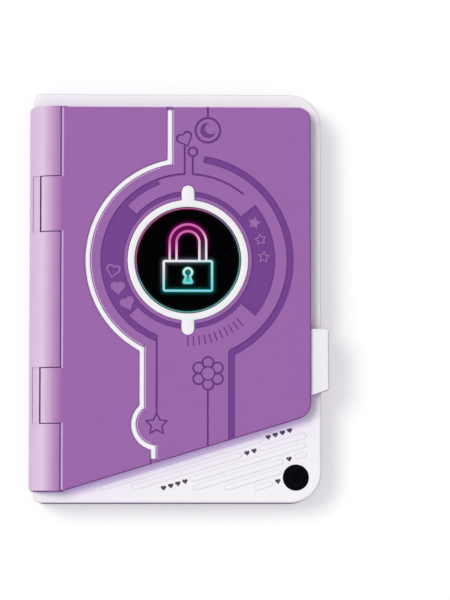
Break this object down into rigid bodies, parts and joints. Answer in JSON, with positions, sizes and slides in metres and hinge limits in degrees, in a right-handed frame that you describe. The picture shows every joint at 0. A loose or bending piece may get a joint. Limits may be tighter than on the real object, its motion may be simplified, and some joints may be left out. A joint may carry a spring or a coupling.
{
  "type": "electronic diary",
  "caption": "Book-shaped electronic diary with a purple hinged cover, glowing lock badge, light strip and thumb tab over a white case with a screen, keys and camera lens.",
  "frame": {"origin": "centre of the bounding box footprint on the face the closed diary lies on", "axes": "+X from the spine to the fore edge, +Y from foot to head, +Z from the back to the cover's front"},
  "size_m": [0.1548, 0.213, 0.0332],
  "materials": {
    "cover_purple": "gloss",
    "spine_lilac": "gloss",
    "shell_purple": "gloss",
    "case_white": "gloss",
    "light_white": "satin",
    "glow_pink": "satin",
    "smoked_window": "polished",
    "screen_glass": "polished",
    "panel_dark": "satin",
    "board_green": "satin",
    "chip_black": "matte",
    "key_purple": "gloss",
    "steel": "brushed",
    "film_amber": "satin",
    "cell_grey": "satin",
    "lock_white": "satin"
  },
  "bodies": {
    "case": {"rear_cover": "shell_purple", "front_case": "case_white", "spine_cover": "spine_lilac", "upper_hinge_pin": "steel", "lower_hinge_pin": "steel", "screen_window": "screen_glass", "lcd_panel": "panel_dark", "lcd_ribbon": "film_amber", "main_board": "board_green", "main_chips": "chip_black", "key_switches": "steel", "io_board": "board_green", "usb_socket": "steel", "card_socket": "steel", "power_switch": "chip_black", "battery_cell": "cell_grey", "speaker_unit": "panel_dark", "microphone": "steel", "lens_window": "smoked_window", "camera_module": "chip_black", "lock_solenoid": "steel", "case_screws": "steel", "board_screws": "steel", "spine_screws": "steel"},
    "cover": {"cover_shell": "cover_purple", "cover_liner": "case_white", "light_strip": "light_white", "lock_ring": "light_white", "halo_ring": "glow_pink", "lock_window": "smoked_window", "padlock_guide": "glow_pink", "led_board": "board_green", "badge_leds": "light_white", "lock_catch": "steel", "catch_screws": "steel", "tab_cap": "lock_white", "cover_screws": "steel"},
    "back_key": {"back_key": "key_purple"},
    "left_key": {"left_key": "key_purple"},
    "ok_key": {"ok_key": "key_purple"},
    "right_key": {"right_key": "key_purple"},
    "shutter_key": {"shutter_key": "key_purple"},
    "power_button": {"power_button": "key_purple"},
    "lock_bolt": {"lock_bolt": "steel"},
    "memory_card": {"memory_card": "chip_black"}
  },
  "joints": [
    {"name": "cover_hinge", "type": "hinge", "parent": "case", "child": "cover", "pos_m": [-0.06585, 0, 0.0282], "axis": [0, -1, 0], "range_deg": [0, 115]},
    {"name": "back_key_press", "type": "slide", "parent": "case", "child": "back_key", "axis": [0, 0, -1], "range_m": [0, 0.0008], "stiffness_N_per_m": 800, "springref_m": -0.0005},
    {"name": "left_key_press", "type": "slide", "parent": "case", "child": "left_key", "axis": [0, 0, -1], "range_m": [0, 0.0008], "stiffness_N_per_m": 800, "springref_m": -0.0005},
    {"name": "ok_key_press", "type": "slide", "parent": "case", "child": "ok_key", "axis": [0, 0, -1], "range_m": [0, 0.0008], "stiffness_N_per_m": 800, "springref_m": -0.0005},
    {"name": "right_key_press", "type": "slide", "parent": "case", "child": "right_key", "axis": [0, 0, -1], "range_m": [0, 0.0008], "stiffness_N_per_m": 800, "springref_m": -0.0005},
    {"name": "shutter_key_press", "type": "slide", "parent": "case", "child": "shutter_key", "axis": [0, 0, -1], "range_m": [0, 0.0008], "stiffness_N_per_m": 800, "springref_m": -0.0005},
    {"name": "power_press", "type": "slide", "parent": "case", "child": "power_button", "axis": [0, -1, 0], "range_m": [0, 0.0005], "stiffness_N_per_m": 800, "springref_m": -0.0005},
    {"name": "bolt_slide", "type": "slide", "parent": "case", "child": "lock_bolt", "axis": [0, -1, 0], "range_m": [0, 0.01]},
    {"name": "card_slide", "type": "slide", "parent": "case", "child": "memory_card", "axis": [0, 1, 0], "range_m": [0, 0.014]}
  ]
}
